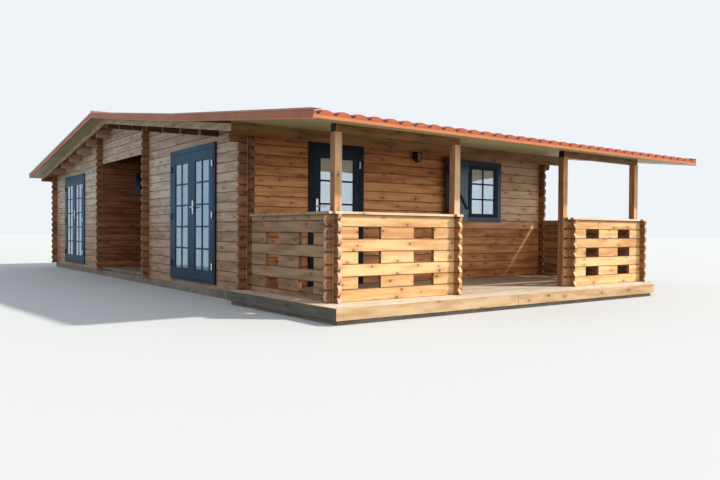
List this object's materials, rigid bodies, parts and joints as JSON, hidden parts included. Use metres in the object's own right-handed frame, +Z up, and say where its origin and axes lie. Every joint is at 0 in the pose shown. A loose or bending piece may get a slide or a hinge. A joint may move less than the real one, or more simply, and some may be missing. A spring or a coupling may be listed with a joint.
{
  "type": "log cabin",
  "caption": "Single-storey log cabin with a low gable roof, a recessed side porch, glazed doors, and a covered front veranda with log railings and posts.",
  "frame": {"origin": "on the ground under the middle of the roof's outline", "axes": "+X to the right along the veranda front, +Y from the veranda to the rear, +Z up"},
  "size_m": [7.068, 12.953, 3.0571],
  "materials": {
    "logs": "weathered pine",
    "railing_logs": "oiled pine",
    "deck_boards": "weathered boards",
    "roof_wood": "stained pine",
    "roof_tile_sheet": "terracotta coating",
    "roof_flashing": "terracotta coating",
    "joinery": "blue-grey paint",
    "clear_glass": "clear",
    "handle_metal": "brushed",
    "shutter_boards": "stained boards",
    "lamp_metal": "black paint",
    "concrete": "pale grey concrete look"
  },
  "bodies": {
    "cabin": {"front_wall": "logs", "front_wall_top": "logs", "left_wall": "logs", "left_wall_gable": "logs", "right_wall": "logs", "rear_wall": "logs", "porch_side_walls": "logs", "porch_back_wall": "logs", "railing_front_left": "railing_logs", "railing_front_right": "railing_logs", "railing_left": "railing_logs", "railing_right": "railing_logs", "railing_caps": "railing_logs", "veranda_posts": "railing_logs", "veranda_beams": "railing_logs", "veranda_deck": "deck_boards", "deck_fascia": "deck_boards", "cabin_floor": "deck_boards", "porch_floor": "deck_boards", "purlins": "roof_wood", "roof_boards": "roof_wood", "barge_boards": "roof_wood", "eave_boards": "roof_wood", "roof_panels_rear": "roof_tile_sheet", "roof_panels_front": "roof_tile_sheet", "roof_panels_veranda": "roof_tile_sheet", "ridge_cap": "roof_tile_sheet", "verge_flashings": "roof_flashing", "eave_flashings": "roof_flashing", "door_frames": "joinery", "porch_door": "joinery", "window_frames": "joinery", "window_sashes": "joinery", "window_glass": "clear_glass", "wall_lamp": "lamp_metal", "cabin_foundation": "concrete", "veranda_base": "concrete"},
    "near_left_leaf": {"near_pair_left_leaf": "joinery", "near_pair_left_glass": "clear_glass"},
    "near_right_leaf": {"near_pair_right_leaf": "joinery", "near_pair_right_glass": "clear_glass", "near_pair_handle": "handle_metal"},
    "far_left_leaf": {"far_pair_left_leaf": "joinery", "far_pair_left_glass": "clear_glass"},
    "far_right_leaf": {"far_pair_right_leaf": "joinery", "far_pair_right_glass": "clear_glass", "far_pair_handle": "handle_metal"},
    "front_leaf": {"front_door_leaf": "joinery", "front_door_glass": "clear_glass", "front_door_handle": "handle_metal"},
    "shutter": {"window_shutter": "shutter_boards"}
  },
  "joints": [
    {"name": "near_left_hinge", "type": "hinge", "parent": "cabin", "child": "near_left_leaf", "pos_m": [-3.0184, -1.6, 1.1], "axis": [0, 0, 1], "range_deg": [-105, 0]},
    {"name": "near_right_hinge", "type": "hinge", "parent": "cabin", "child": "near_right_leaf", "pos_m": [-3.0184, -3.095, 1.1], "axis": [0, 0, 1], "range_deg": [0, 105]},
    {"name": "far_left_hinge", "type": "hinge", "parent": "cabin", "child": "far_left_leaf", "pos_m": [-3.0184, 5.08, 1.1], "axis": [0, 0, 1], "range_deg": [-105, 0]},
    {"name": "far_right_hinge", "type": "hinge", "parent": "cabin", "child": "far_right_leaf", "pos_m": [-3.0184, 3.585, 1.1], "axis": [0, 0, 1], "range_deg": [0, 105]},
    {"name": "front_hinge", "type": "hinge", "parent": "cabin", "child": "front_leaf", "pos_m": [-1.2305, -4.1159, 1.1], "axis": [0, 0, 1], "range_deg": [0, 105]},
    {"name": "shutter_hinge", "type": "hinge", "parent": "cabin", "child": "shutter", "pos_m": [0.932, -4.1355, 1.5745], "axis": [0, 0, 1], "range_deg": [0, 174]}
  ]
}
